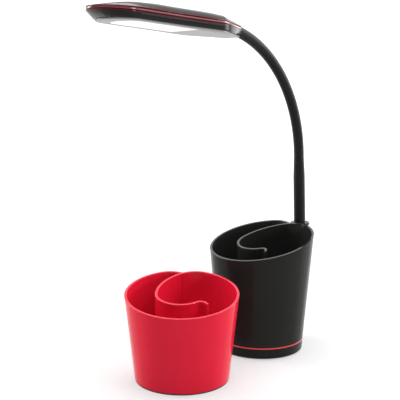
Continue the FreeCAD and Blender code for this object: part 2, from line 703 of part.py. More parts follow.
coil_x = f"{POST_ALONG} + Sizes.part_start"
beside_x = f"{coil_x} + Sizes.coil_radius + Sizes.part_gap"
coil = cylinder("Coil", "Sizes.coil_radius", "Sizes.coil_height", coil_x, "0", BOARD_TOP)
regulator = block("Regulator", "Sizes.regulator_side", "Sizes.regulator_side",
                  "Sizes.regulator_height", beside_x,
                  "-Sizes.part_side - Sizes.regulator_side", BOARD_TOP)
connector = block("Connector", "Sizes.connector_long", "Sizes.connector_wide",
                  "Sizes.connector_height", beside_x, "Sizes.part_side", BOARD_TOP)
to_inlet(group("BoardParts", coil, regulator, connector), "board_components")

board_screws = []
for number, (x, y) in enumerate(post_places, start=1):
    shank = cylinder(f"BoardScrewShank{number}", "Sizes.board_screw_radius",
                     "Sizes.board_thickness + Sizes.board_screw_grip", x, y,
                     f"{BOARD_Z} - Sizes.board_screw_grip")
    head = cylinder(f"BoardScrewHead{number}", "2 * Sizes.board_screw_radius",
                    "Sizes.board_head_height", x, y, BOARD_TOP)
    board_screws.append(fuse(f"BoardScrew{number}", shank, head))
keep(group("BoardScrews", *board_screws), "board_screws")

# ---------------------------------------------------------------------------
# Stem: everything on the boss axis is made upright and then leaned forward
# ---------------------------------------------------------------------------


def on_stem(item, label):
    doc.recompute()
    item.Placement = stem_place
    return keep(item, label)


on_stem(cut("Bush", cylinder("BushOutside", "Sizes.bush_radius", "Sizes.bush_length",
                             z=BUSH_BOTTOM),
            cylinder("BushBore", "Sizes.neck_core_radius + Sizes.fit_clearance",
                     "Sizes.bush_length", z=BUSH_BOTTOM)), "neck_bush")

collar_ring = cut("CollarRing", cylinder("CollarOutside", "Sizes.collar_radius",
                                         "Sizes.collar_height"),
                  cylinder("CollarBore", "Sizes.stem_radius + 2 * Sizes.fit_clearance",
                           "Sizes.collar_height"))
doc.recompute()
rims = [number for number, edge in enumerate(collar_ring.Shape.Edges, start=1)
        if isinstance(edge.Curve, Part.Circle)
        and edge.Curve.Radius > (size("stem_radius") + size("collar_radius")) / 2]
collar = doc.addObject("Part::Chamfer", "Collar")
collar.Base = collar_ring
collar.Edges = [(number, size("collar_chamfer"), size("collar_chamfer")) for number in rims]
on_stem(collar, "neck_collar")

stem = fuse("StemSolid",
            cylinder("StemThick", "Sizes.stem_radius", "Sizes.stem_taper_start"),
            cone("StemTaper", "Sizes.stem_radius", "Sizes.neck_radius",
                 "Sizes.stem_taper_end - Sizes.stem_taper_start", z="Sizes.stem_taper_start"),
            cylinder("StemThin", "Sizes.neck_radius", "Sizes.stem_length - Sizes.stem_taper_end",
                     z="Sizes.stem_taper_end"),
            nose("StemNose", size("stem_length"), 0.0, False))
stem_bore = cylinder("StemBore", "Sizes.neck_core_radius + Sizes.fit_clearance",
                     "Sizes.stem_taper_end")
stem_wire = cylinder("StemWire", "Sizes.neck_wire_radius", "2 * Sizes.stem_length")
on_stem(cut("Stem", stem, stem_bore, stem_wire), "neck_stem")

on_stem(cut("StemTube",
            cylinder("StemTubeOutside", "Sizes.neck_core_radius",
                     "Sizes.bush_length + Sizes.stem_taper_end - Sizes.end_clearance",
                     z=BUSH_BOTTOM),
            cylinder("StemTubeBore", "Sizes.neck_wire_radius",
                     "Sizes.bush_length + Sizes.stem_taper_end", z=BUSH_BOTTOM)), "stem_tube")

grub = cylinder("Grub", "Sizes.grub_radius",
                "Sizes.boss_radius - Sizes.grub_sunk - Sizes.bush_radius - Sizes.fit_clearance",
                y="Sizes.bush_radius + Sizes.fit_clearance", z="-Sizes.grub_depth")
grub.Placement = Place(grub.Placement.Base, Turn(X_AXIS, -90))
on_stem(group("GrubScrew", grub), "neck_set_screw")

# ---------------------------------------------------------------------------
# Flexible neck: short links between hinges on one arc.  The end of each link is rounded
# about its hinge and turns in the hollow start of the next link.
# ---------------------------------------------------------------------------
first_hinge = stem_place.multVec(Vec(0, 0, size("stem_length")))
arc_middle = first_hinge - stem_place.Rotation.multVec(Vec(0, size("bend_radius"), 0))
HALF_BEND = size("link_angle") / 2
link_length = 2 * size("bend_radius") * math.sin(math.radians(HALF_BEND))
LINK_LENGTH = "2 * Sizes.bend_radius * sin(Sizes.link_angle / 2)"
CORE_START = "Sizes.neck_radius + 2 * Sizes.socket_clearance"


def link_place(number):
    """Frame of a link: origin at the hinge where it starts, Z towards its far end."""
    bend = size("neck_lean") + (number - 1) * size("link_angle")
    hinge = arc_middle + Turn(X_AXIS, bend).multVec(Vec(0, size("bend_radius"), 0))
    return Place(hinge, Turn(X_AXIS, bend + HALF_BEND))


def neck_link(number):
    """Sleeve and steel core of one link; the last link ends in the head's ring instead."""
    last = number == LINKS
    sleeve_end = LINK_LENGTH
    core_end = f"{LINK_LENGTH} - Sizes.core_end_gap"
    if last:
        sleeve_end = f"{LINK_LENGTH} - Sizes.ferrule_wall - 2 * Sizes.fit_clearance"
        core_end = f"{LINK_LENGTH} + Sizes.ferrule_inside"
    bar = cylinder(f"SleeveBar{number}", "Sizes.neck_radius", sleeve_end)
    if not last:
        bar = fuse(f"SleeveSolid{number}", bar,
                   nose(f"SleeveNose{number}", link_length, HALF_BEND, number % 2 == 1))
    hollows = [
        hinge_bar(f"SleeveSocket{number}", "Sizes.neck_radius + Sizes.socket_clearance", 0.0,
                  -HALF_BEND, number % 2 == 0),
        cylinder(f"SleeveBore{number}", "Sizes.neck_core_radius + Sizes.fit_clearance",
                 f"{core_end} - ({CORE_START})", z=CORE_START),
        cylinder(f"SleeveWire{number}", "Sizes.neck_wire_radius", f"2 * {LINK_LENGTH}"),
    ]
    core = cut(f"Core{number}",
               cylinder(f"CoreBar{number}", "Sizes.neck_core_radius",
                        f"{core_end} - ({CORE_START})", z=CORE_START),
               cylinder(f"CoreWire{number}", "Sizes.neck_wire_radius", f"2 * {LINK_LENGTH}"))
    return cut(f"Sleeve{number}", bar, *hollows), core


for number in range(1, LINKS + 1):
    pieces = neck_link(number)
    doc.recompute()
    for item, label in zip(pieces, (f"neck_sleeve_{number}", f"neck_core_{number}")):
        item.Placement = link_place(number)
        keep(item, label)

# ---------------------------------------------------------------------------
# Head: made level, root at the origin, tip towards -Y, underside on Z = 0
# ---------------------------------------------------------------------------
neck_end = link_place(LINKS) * Place(Vec(0, 0, link_length), Turn())
head_turn = Turn(X_AXIS, -size("head_pitch")) * Turn(Y_AXIS, -size("head_twist"))
head_place = Place(neck_end.Base, head_turn) * Place(Vec(0, 0, -size("neck_entry")), Turn())
neck_in_head = head_place.inverse() * neck_end


TRIM_LOW = size("trim_middle") - size("trim_height") / 2
TRIM_HIGH = size("trim_middle") + size("trim_height") / 2


def half_width(along):
    """Half width of the head at a distance from its root."""
    shoulder, waist, nose = size("shoulder_at"), size("waist_at"), size("nose_at")
    if along <= shoulder:
        share = along / shoulder
        return size("head_root_half") * (1 - share) + size("shoulder_half") * share
    if along <= waist:
        ease = (1 + math.cos(math.pi * (along - shoulder) / (waist - shoulder))) / 2
        return size("waist_half") + (size("shoulder_half") - size("waist_half")) * ease
    if along <= nose:
        share = (along - waist) / (nose - waist)
        return size("waist_half") * (1 - share) + size("nose_half") * share
    share = (along - nose) / (size("head_length") - nose)
    return size("nose_half") * math.sqrt(max(1 - share**2, 0.0))


def nose_end(inset):
    """End of the head's nose from its root, or of its hollow, which is smaller by inset."""
    return size("head_length") - (size("nose_wall") if inset else 0.0)


def crown(along, inset):
    """Top of the head above its underside, or of its hollow."""
    rise_end, fall_start = size("crown_rise"), size("crown_fall")
    full, root = size("crown_height") - inset, size("root_height") - inset
    if along < rise_end:
        return root + (full - root) * math.sin(math.pi / 2 * along / rise_end)
    if along < fall_start:
        return full
    share = (along - fall_start) / (nose_end(inset) - fall_start)
    return TRIM_HIGH + (full - TRIM_HIGH) * (1 - share**2)


def side_stations():
    """Sections from the shoulder to the waist."""
    shoulder, waist = size("shoulder_at"), size("waist_at")
    return [shoulder + (waist - shoulder) * share for share in SIDE_SHARES]


def head_stations(inset):
    """Sections of the whole head, or of its hollow, from the root to the nose."""
    shoulder, waist, nose = size("shoulder_at"), size("waist_at"), size("nose_at")
    bow = [nose + (nose_end(inset) - nose) * share for share in NOSE_SHARES]
    return [inset, (inset + shoulder) / 2, *side_stations(), (waist + nose) / 2, nose, *bow]


# sections of the slimming sides and of the rounded nose: shares of their length
SIDE_SHARES = (0.0, 0.25, 0.5, 0.75, 1.0)
NOSE_SHARES = (0.25, 0.45, 0.62, 0.76, 0.87, 0.95, 0.99)
# points of the domed top: share of the half width, share of the height above the strip
DOME_SHARES = [(1.0, 0.0), (0.88, 0.52), (0.5, 0.87), (0.0, 1.0),
               (-0.5, 0.87), (-0.88, 0.52), (-1.0, 0.0)]
# directions, from the widest place, of the points on the plan's rounded nose
BOW_ANGLES = (20, 40, 60, 75)
# where the plan of the panel's nose passes: shares of its half width and of its length
PANEL_NOSE_AT = [(0.96, 0.36), (0.76, 0.7)]


def inner_half_width(along, inset):
    """Half width of the head, or of its hollow, which has a shorter nose."""
    if inset and along > size("nose_at"):
        share = (along - size("nose_at")) / (nose_end(inset) - size("nose_at"))
        return (size("nose_half") - inset) * math.sqrt(max(1 - share**2, 0.0))
    return half_width(along) - inset


def dome_points(along, inset):
    """Points across the domed top, from the right edge of the strip to the left one."""
    half, y = inner_half_width(along, inset), -along
    rise = crown(along, inset) - TRIM_HIGH
    return [Vec(across * half, y, TRIM_HIGH + up * rise) for across, up in DOME_SHARES]


def arcs_through(points):
    """Round edges, each through three of the points, one after the other."""
    return [Part.Arc(*points[first:first + 3]).toShape() for first in range(0, len(points) - 2, 2)]


def hollow_section(along, inset):
    """Closed section of the space under the domed top, with flat sides."""
    points = dome_points(along, inset)
    return Part.makePolygon([*points, points[0]])


def dome_section(along, inset):
    """Closed section of the top: flat at the upper edge of the strip, three arcs above."""
    points = dome_points(along, inset)
    return Part.Wire([Part.LineSegment(points[-1], points[0]).toShape(), *arcs_through(points)])


def dome(section, inset=0.0):
    """Solid of the domed top through its sections."""
    return Part.makeLoft([section(along, inset) for along in head_stations(inset)], True, True)


def across_middle(point):
    """The same point on the other side of the head."""
    return Vec(-point.x, point.y, point.z)


def plan(inset, end, height, root=None):
    """Outline of the head from above, smaller all round by inset, with its nose up to end."""
    nose = size("nose_at")

    def edge_point(along):
        return Vec(half_width(along) - inset, -along, height)

    start = edge_point(inset if root is None else root)
    side = [edge_point(along) for along in side_stations()]
    bow = [edge_point(nose)]
    for way in (ring_point(1.0, degrees) for degrees in BOW_ANGLES):
        bow.append(Vec(bow[0].x * way.x, -nose - (end - nose) * way.y, height))
    right = [Part.LineSegment(start, side[0]).toShape(), *arcs_through(side),
             Part.LineSegment(side[-1], bow[0]).toShape()]
    mirrored = [edge.mirror(Vec(0, 0, 0), X_AXIS) for edge in right]
    round_nose = arcs_through([*bow, Vec(0, -end, height),
                               *[across_middle(point) for point in reversed(bow)]])
    closing = Part.LineSegment(across_middle(start), start).toShape()
    return Part.Wire([*right, *round_nose, *reversed(mirrored), closing])


def plan_prism(inset, end, low, high):
    """Upright prism over the head's plan."""
    return Part.Face(plan(inset, end, low)).extrude(Vec(0, 0, high - low))


def keel(inset):
    """Black lower part, or its hollow: nearly upright sides and a nose that slopes back."""
    low = size("frame_thickness")
    height = TRIM_LOW - low
    narrower = size("side_draft") * (height - inset)
    slope_back = size("keel_nose_gap") * (1 - inset / height)
    low_plan = plan(inset + narrower, nose_end(inset) - slope_back, low + inset, root=inset)
    return Part.makeLoft([low_plan, plan(inset, nose_end(inset), TRIM_LOW, root=inset)], True, True)


wall = size("head_wall")
tube_radius = size("neck_core_radius") + size("ferrule_tube")
entry = Part.makeCylinder(tube_radius + size("fit_clearance"), size("ferrule_inside"))
entry = entry.fuse(Part.makeCylinder(2 * size("neck_radius"), FAR, Vec(0, 0, -FAR)))
entry.Placement = neck_in_head


PANEL_END = size("head_length") - size("panel_end")


def panel_prism(margin, low, high):
    """Prism over the light panel's plan: straight root end and sides, rounded nose."""
    half, start, nose = size("panel_half") + margin, size("panel_start") - margin, size("panel_nose")
    turn = PANEL_END - nose
    corner, side = Vec(half, -start, low), Vec(half, -turn, low)
    right = [side] + [Vec(half * across, -turn - (nose + margin) * onward, low)
                      for across, onward in PANEL_NOSE_AT]
    left = [across_middle(point) for point in reversed(right)]
    edges = [Part.LineSegment(corner, side).toShape(),
             *arcs_through([*right, Vec(0, -turn - nose - margin, low), *left]),
             Part.LineSegment(left[-1], across_middle(corner)).toShape(),
             Part.LineSegment(across_middle(corner), corner).toShape()]
    return Part.Face(Part.Wire(edges)).extrude(Vec(0, 0, high - low))


frame_top = size("frame_thickness")
opening = panel_prism(size("panel_flange") + size("hole_clearance"), 0.0, TRIM_LOW)
top_hollow = dome(hollow_section, wall)
keep(shaped("HeadTop", dome(dome_section).cut(top_hollow).cut(entry), head_place),
     "head_top_shell")
lower = keel(0.0).cut(keel(wall))
keep(shaped("HeadLower", lower.cut(opening).cut(entry), head_place), "head_lower_shell")
recess = size("trim_recess")
strip = plan_prism(recess, size("head_length") - recess, TRIM_LOW, TRIM_HIGH)
strip = strip.cut(plan_prism(wall, size("head_length") - wall, TRIM_LOW, TRIM_HIGH))
keep(shaped("HeadTrim", strip.cut(entry), head_place), "head_trim_strip")

frame_side = size("side_draft") * (TRIM_LOW - frame_top) + size("frame_inset")
plate = plan_prism(frame_side, size("head_length") - size("frame_nose_gap"), 0.0, frame_top)
keep(shaped("HeadFrame", plate.cut(panel_prism(0.0, -SPARE, frame_top + SPARE)), head_place),
     "head_bottom_frame")

flange_top = frame_top + size("diffuser_skin")
diffuser = panel_prism(-size("panel_gap"), size("panel_sunk"), frame_top)
diffuser = diffuser.fuse(panel_prism(size("panel_flange"), frame_top, flange_top))
keep(shaped("Diffuser", diffuser.removeSplitter(), head_place), "diffuser")

reflector_top = flange_top + size("reflector_height")
reflector = panel_prism(size("panel_flange"), flange_top, reflector_top)
reflector = reflector.cut(panel_prism(
    size("panel_flange") - size("reflector_wall"), flange_top, reflector_top))
keep(shaped("Reflector", reflector, head_place), "reflector_frame")


def in_head(item, label):
    doc.recompute()
    item.Placement = head_place
    return keep(item, label)


PANEL_TURN = "Sizes.head_length - Sizes.panel_end - Sizes.panel_nose"
PANEL_MIDDLE = f"-(Sizes.panel_start + {PANEL_TURN}) / 2"
LAMP_BOARD_LONG = f"{PANEL_TURN} - Sizes.panel_start"
LAMP_BOARD_Z = "Sizes.frame_thickness + Sizes.diffuser_skin + Sizes.reflector_height"
in_head(padded_body("LampBoard", ("box", "0", PANEL_MIDDLE,
                                  "2 * (Sizes.panel_half + Sizes.panel_flange)",
                                  LAMP_BOARD_LONG),
                    "Sizes.lamp_board_thickness", LAMP_BOARD_Z), "lamp_board")

chips = []
columns, rows = int(size("lamp_columns")), int(size("lamp_rows"))
for column in range(columns):
    for row in range(rows):
        y = f"{PANEL_MIDDLE} + ({column} - (Sizes.lamp_columns - 1) / 2) * Sizes.lamp_pitch"
        x = f"({row} - (Sizes.lamp_rows - 1) / 2) * Sizes.lamp_row_spread"
        chips.append(block(f"Chip{column}_{row}", "Sizes.lamp_chip", "Sizes.lamp_chip",
                           "Sizes.lamp_chip_height", f"{x} - Sizes.lamp_chip / 2",
                           f"{y} - Sizes.lamp_chip / 2",
                           f"{LAMP_BOARD_Z} - Sizes.lamp_chip_height"))
in_head(group("Chips", *chips), "lamp_chips")

# ferrule on the end of the neck; a block inside the head grips its tube
ferrule = cut("Ferrule",
              fuse("FerruleSolid",
                   cylinder("FerruleFlange", "Sizes.neck_radius + Sizes.ferrule_wall",
                            "Sizes.ferrule_outside", z="-Sizes.ferrule_outside"),
                   cylinder("FerruleTube", "Sizes.neck_core_radius + Sizes.ferrule_tube",
                            "Sizes.ferrule_inside")),
              cylinder("FerruleBore", "Sizes.neck_core_radius + Sizes.fit_clearance",
                       "2 * Sizes.ferrule_inside", z="-Sizes.ferrule_outside"),
              cylinder("FerruleCup", "Sizes.neck_radius + 2 * Sizes.fit_clearance",
                       "Sizes.ferrule_outside - Sizes.ferrule_wall",
                       z="-Sizes.ferrule_outside"))
doc.recompute()
ferrule.Placement = neck_end
keep(ferrule, "neck_ferrule")

floor_top = frame_top + wall
clamp = Part.makeBox(2 * size("clamp_half"), size("clamp_length"), size("neck_entry"),
                     Vec(-size("clamp_half"), -wall - size("clamp_length"), floor_top))
groove = Part.makeCylinder(tube_radius + size("fit_clearance"),
                           size("ferrule_inside") + size("end_clearance"))
wire_way = Part.makeCylinder(size("neck_wire_radius"), FAR)
for tool in (groove, wire_way):
    tool.Placement = neck_in_head
    clamp = clamp.cut(tool)
clamp_side = wall + size("side_draft") * TRIM_LOW
clamp = clamp.common(plan_prism(clamp_side, size("waist_at"), floor_top, TRIM_HIGH))
keep(shaped("Clamp", clamp, head_place), "neck_clamp")

touch_area = Part.makeCylinder(size("touch_radius"), FAR, Vec(0, -size("touch_at"), 0))
under = top_hollow.copy()
under.translate(Vec(0, 0, -size("touch_thickness")))
keep(shaped("Touch", top_hollow.common(touch_area).cut(under), head_place), "touch_sensor")

# ---------------------------------------------------------------------------
# Loose cup
# ---------------------------------------------------------------------------
pot_place = Place(Vec(size("pot_side"), -size("pot_front"), 0), Turn(Z_AXIS, size("pot_turn")))
pot = spiral_cup(size("pot_height"), size("pot_foot_radius"), size("pot_rim_slope"),
                 size("pot_foot_thickness"), size("pot_foot_thickness") + size("cup_floor"))
keep(shaped("RedCup", pot, pot_place), "red_cup")
keep(cylinder("PotFoot", "Sizes.pot_foot_radius - Sizes.pot_foot_inset",
              "Sizes.pot_foot_thickness", "Sizes.pot_side", "-Sizes.pot_front"),
     "red_cup_foot")

# ---------------------------------------------------------------------------
# Check and write
# ---------------------------------------------------------------------------
doc.recompute()
for item in doc.Objects:
    assert not {"Invalid", "Error"} & set(item.State), f"{item.Label}: {item.State}"
for item in parts:
    assert not item.Shape.isNull() and item.Shape.isValid(), f"{item.Label} has a bad shape"
    assert item.Shape.Solids, f"{item.Label} holds no solid"

os.makedirs("parts", exist_ok=True)
for item in parts:
    item.Shape.exportStep(f"parts/{item.Label}.step")
    box = item.Shape.BoundBox
    print(f"{item.Label:20s} solids {len(item.Shape.Solids):2d}  volume {item.Shape.Volume:10.1f}"
          f"  z {box.ZMin:7.2f} to {box.ZMax:7.2f}")
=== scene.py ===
# %% [markdown]
# # A desk lamp on a spiral pen cup, with a loose spiral cup
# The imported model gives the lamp's solids and joints.  This lesson dresses them: smooth
# glossy mouldings, a soft gooseneck, a light panel and the light of a small studio.

# %% Load the frame
import json
import math

import bpy
from mathutils import Matrix, Vector

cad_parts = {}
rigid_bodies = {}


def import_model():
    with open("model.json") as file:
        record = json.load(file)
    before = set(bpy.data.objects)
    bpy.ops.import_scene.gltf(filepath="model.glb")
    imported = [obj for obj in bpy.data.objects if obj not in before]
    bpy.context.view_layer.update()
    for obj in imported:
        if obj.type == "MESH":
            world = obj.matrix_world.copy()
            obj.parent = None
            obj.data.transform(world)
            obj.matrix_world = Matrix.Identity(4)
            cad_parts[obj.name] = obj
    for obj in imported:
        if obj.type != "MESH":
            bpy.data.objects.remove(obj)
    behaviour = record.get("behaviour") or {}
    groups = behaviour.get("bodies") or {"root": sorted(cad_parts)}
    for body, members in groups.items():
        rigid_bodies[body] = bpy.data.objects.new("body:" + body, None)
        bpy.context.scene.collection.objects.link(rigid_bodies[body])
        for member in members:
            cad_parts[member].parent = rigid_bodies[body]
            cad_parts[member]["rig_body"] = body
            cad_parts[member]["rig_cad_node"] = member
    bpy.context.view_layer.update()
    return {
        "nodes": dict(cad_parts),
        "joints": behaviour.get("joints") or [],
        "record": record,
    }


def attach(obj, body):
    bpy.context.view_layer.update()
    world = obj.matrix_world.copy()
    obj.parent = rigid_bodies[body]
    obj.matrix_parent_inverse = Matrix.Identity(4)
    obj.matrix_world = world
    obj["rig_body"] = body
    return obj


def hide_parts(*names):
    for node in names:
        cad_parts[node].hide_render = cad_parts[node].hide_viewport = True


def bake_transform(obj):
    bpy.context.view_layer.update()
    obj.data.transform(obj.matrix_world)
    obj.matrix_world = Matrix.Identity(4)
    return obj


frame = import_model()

nodes = frame["nodes"]
MM = 0.001

# %% [markdown]
# The camera stands to the right in front of the lamp, a little higher than the middle of
# the neck, and looks slightly down.  A long lens keeps the cups from looking bulged.
# The plain view transform shows white paper as white and keeps the reds pure.

# %% Camera
CAMERA_PLACE = Vector((0.4841, -0.5861, 0.2617))
CAMERA_DOWN, CAMERA_TURN = 8.75, 44.0
LENS_LENGTH, SENSOR_WIDTH = 72, 36
bpy.ops.object.camera_add(location=CAMERA_PLACE, rotation=(
    math.radians(90 - CAMERA_DOWN), 0, math.radians(CAMERA_TURN)))
camera = bpy.context.object
camera.name = "camera"
camera.data.lens = LENS_LENGTH
camera.data.sensor_width = SENSOR_WIDTH
bpy.context.scene.camera = camera
bpy.context.scene.view_settings.view_transform = "Standard"
print("camera", tuple(round(value, 3) for value in camera.location))

# %% [markdown]
# Every new piece is modelled as by hand: faces or edges are selected by their place, and
# an operator acts on them.  An operator acts on all that is selected, also on what was
# left selected before, so these helpers start from an empty selection each time.

# %% Small helpers for working in edit mode
def only(piece):
    """Make one object the whole selection."""
    bpy.ops.object.select_all(action="DESELECT")
    piece.select_set(True)
    bpy.context.view_layer.objects.active = piece


def edit_on():
    """Go into edit mode on the active object."""
    bpy.ops.object.mode_set(mode="EDIT")


def edit_off():
    """Leave edit mode, so that code can read and change the selection."""
    bpy.ops.object.mode_set(mode="OBJECT")


def unselected(piece, domain="FACE"):
    """Ready one object's points, edges or faces to be selected in code, none chosen yet."""
    only(piece)
    edit_on()
    bpy.ops.mesh.select_mode(type=domain)
    bpy.ops.mesh.select_all(action="DESELECT")
    edit_off()


def settle(piece):
    """Put a piece's place into its mesh and leave its object at the origin."""
    only(piece)
    bpy.ops.object.transform_apply(location=True, rotation=True, scale=True)


def apply_modifier(piece, modifier):
    """Make what a modifier shows the piece's own mesh."""
    only(piece)
    bpy.ops.object.modifier_apply(modifier=modifier.name)


print("mode", bpy.context.mode)

# %% [markdown]
# A studio table for small products is one sheet of pale paper that rises behind them, so
# no edge shows.  A bent curve with a width could make it too.  Here it is a plane whose
# back edge is extruded up, with a round bevel, because that takes only two steps.

# %% Paper sweep
FLOOR_HALF, SWEEP_BEHIND, SWEEP_HIGH = 4.0, 2.6, 4.0
SWEEP_ROUND, SWEEP_STEPS = 1.2, 16
BACK_EDGE_SLACK = 0.1
bpy.ops.object.select_all(action="DESELECT")
bpy.ops.mesh.primitive_plane_add(size=2 * FLOOR_HALF, location=(0, 0, 0))
sweep = bpy.context.object
sweep.name = "paper_sweep"
away = Matrix.Rotation(math.radians(CAMERA_TURN), 4, "Z")
sweep.data.transform(away @ Matrix.Translation((0, SWEEP_BEHIND - FLOOR_HALF, 0)))
behind = away.to_3x3() @ Vector((0, 1, 0))
unselected(sweep, "EDGE")
for edge in sweep.data.edges:
    middle = sum((sweep.data.vertices[i].co for i in edge.vertices), Vector()) / 2
    edge.select = middle.dot(behind) > SWEEP_BEHIND - BACK_EDGE_SLACK
edit_on()
bpy.ops.mesh.extrude_region_move(TRANSFORM_OT_translate={"value": (0, 0, SWEEP_HIGH)})
edit_off()
bend = sweep.modifiers.new("sweep_round", "BEVEL")
bend.width, bend.segments, bend.limit_method = SWEEP_ROUND, SWEEP_STEPS, "ANGLE"
apply_modifier(sweep, bend)
bpy.ops.object.shade_smooth()
print("sweep faces", len(sweep.data.polygons))

# %% [markdown]
# A material, and a glow too, is a small tree of shader nodes.  It could be wired by hand
# in the node editor.  In code a few helpers add a node, feed its sockets and do the sums,
# so that each finish below reads as what it does.

# %% Small helpers for shader nodes
def add_node(tree, kind, **settings):
    """Add a shader node and set its plain properties."""
    node = tree.nodes.new(kind)
    for name, value in settings.items():
        setattr(node, name, value)
    return node


def feed(tree, socket, value):
    """Give an input a constant, or wire another node's output into it."""
    if isinstance(value, bpy.types.NodeSocket):
        tree.links.new(value, socket)
    else:
        socket.default_value = value


def object_place(tree):
    """The place of each point in metres, which stays with the piece when it moves."""
    return add_node(tree, "ShaderNodeTexCoord").outputs["Object"]


def stretch(tree, value, start, end, low=0.0, high=1.0):
    """Turn the range from start to end into low to high, with smooth ends."""
    node = add_node(tree, "ShaderNodeMapRange", interpolation_type="SMOOTHSTEP")
    for socket, number in zip(node.inputs, (value, start, end, low, high)):
        feed(tree, socket, number)
    return node.outputs[0]


def maths(tree, operation, *values):
    """One sum, such as ADD or MULTIPLY."""
    node = add_node(tree, "ShaderNodeMath", operation=operation)
    for socket, value in zip(node.inputs, values):
        feed(tree, socket, value)
    return node.outputs[0]


print("materials so far", len(bpy.data.materials))

# %% [markdown]
# Light makes gloss readable.  The room is a dome, white behind and overhead and dark in
# front, so that a black moulding mirrors pale walls at its edges and stays dark in its
# middle.  A panorama image would do the same, but two smooth steps need no file and can be
# moved by their numbers.  Cameras look through the dome, at plain white.

# %% Glow of the room
DOME_RADIUS = 3.4
WALL_LIGHT, FRONT_LIGHT = 1.0, 0.12
WALL_FROM, WALL_FULL = 0.10, 0.45
CEILING_FROM, CEILING_FULL = 0.25, 0.75


def room_material():
    """A glow that depends on the direction: dark in front, white behind and overhead."""
    material = bpy.data.materials.new("studio_room")
    material.use_nodes = True
    room = material.node_tree
    room.nodes.clear()
    turned = add_node(room, "ShaderNodeMapping", vector_type="POINT")
    feed(room, turned.inputs["Vector"], object_place(room))
    turned.inputs["Rotation"].default_value = (0, 0, math.radians(-CAMERA_TURN))
    turned.inputs["Scale"].default_value = (1 / DOME_RADIUS,) * 3
    way = add_node(room, "ShaderNodeSeparateXYZ")
    feed(room, way.inputs[0], turned.outputs[0])
    walls = stretch(room, way.outputs["Y"], WALL_FROM, WALL_FULL, FRONT_LIGHT, WALL_LIGHT)
    ceiling = stretch(room, way.outputs["Z"], CEILING_FROM, CEILING_FULL,
                      FRONT_LIGHT, WALL_LIGHT)
    glow = add_node(room, "ShaderNodeEmission")
    feed(room, glow.inputs["Color"], maths(room, "MAXIMUM", walls, ceiling))
    out = add_node(room, "ShaderNodeOutputMaterial")
    feed(room, out.inputs["Surface"], glow.outputs[0])
    material.cycles.emission_sampling = "NONE"
    return material


world = bpy.data.worlds.new("studio_white")
bpy.context.scene.world = world
world.use_nodes = True
world.node_tree.nodes["Background"].inputs["Color"].default_value = (1, 1, 1, 1)
print(f"room light {FRONT_LIGHT} in front, {WALL_LIGHT} behind and overhead")

# %% [markdown]
# The dome itself is a sphere, cut level with the table.  Half a sphere is enough, because
# the paper covers what lies below.

# %% Room
DOME_SEGMENTS, DOME_RINGS = 48, 24
bpy.ops.object.select_all(action="DESELECT")
bpy.ops.mesh.primitive_uv_sphere_add(
    segments=DOME_SEGMENTS, ring_count=DOME_RINGS, radius=DOME_RADIUS)
dome = bpy.context.object
dome.name = dome.data.name = "room_dome"
unselected(dome)
edit_on()
bpy.ops.mesh.select_all(action="SELECT")
bpy.ops.mesh.bisect(plane_co=(0, 0, 0), plane_no=(0, 0, 1), clear_inner=True)
edit_off()
dome.data.materials.append(room_material())
dome.visible_camera = False
print("dome faces", len(dome.data.polygons))

# %% [markdown]
# A soft box is a lamp behind cloth, and gloss shows it as a pale patch.  The one overhead
# and the two at the sides light everything.  The other three are there for the head: its
# root mirrors the back one, and its red strip mirrors the front one as a bright dot and
# the last one as a thin line.  Lights could be placed by the room's own axes.  It is easier
# to think of them as the camera sees them, to the right of the lamp, behind it and above
# it, so the places are given that way.

# %% Soft boxes
def soft_box(name, place, aim, size, watts):
    """A rectangular light, so wide and so high, that faces a point."""
    bpy.ops.object.select_all(action="DESELECT")
    bpy.ops.object.light_add(type="AREA", location=place)
    light = bpy.context.object
    light.name = name
    light.data.shape = "RECTANGLE"
    light.data.size, light.data.size_y = size
    light.data.energy = watts
    light.rotation_euler = (Vector(aim) - light.location).to_track_quat("-Z", "Y").to_euler()


def from_camera(right, away_from, up):
    """A place given to the right of, behind and above the lamp, as the camera sees it."""
    turn = Matrix.Rotation(math.radians(CAMERA_TURN), 3, "Z")
    return turn @ Vector((right, away_from, up))


MIDDLE, HEAD = Vector((0, -0.04, 0.12)), Vector((0, -0.1, 0.3))
soft_box("top_box", from_camera(0, 0.1, 1.6), MIDDLE, size=(1.6, 1.2), watts=33)
soft_box("left_box", from_camera(-1.2, 0.35, 0.5), MIDDLE, size=(0.5, 1.3), watts=12)
soft_box("right_box", from_camera(1.2, 0.45, 0.5), MIDDLE, size=(0.45, 1.3), watts=12)
soft_box("back_box", from_camera(0.85, 1.05, 0.5), MIDDLE, size=(0.60, 1.3), watts=5)
soft_box("front_box", from_camera(1.15, -0.70, 0.42), MIDDLE, size=(0.24, 0.24), watts=4)
soft_box("strip_box", from_camera(1.35, -0.14, 0.42), HEAD, size=(0.7, 0.26), watts=2.0)

# %% [markdown]
# Moulded plastic is never one flat value: the gloss changes a little where it was wiped,
# and the skin has a very fine orange peel.  Each material could hold its own noise.  Here
# a node group with named sockets holds it once, and every material sets its own numbers.

# %% Helpers for effects
def effect_group(name, inputs, outputs):
    """An empty shader node group with named value inputs and outputs."""
    group = bpy.data.node_groups.new(name, "ShaderNodeTree")
    for label, value in inputs:
        socket = group.interface.new_socket(
            label, in_out="INPUT", socket_type="NodeSocketFloat")
        socket.default_value = value
    for label in outputs:
        group.interface.new_socket(label, in_out="OUTPUT", socket_type="NodeSocketFloat")
    return group, add_node(group, "NodeGroupInput"), add_node(group, "NodeGroupOutput")


def place_effect(tree, group):
    """Use an effect inside a material."""
    node = add_node(tree, "ShaderNodeGroup")
    node.node_tree = group
    return node


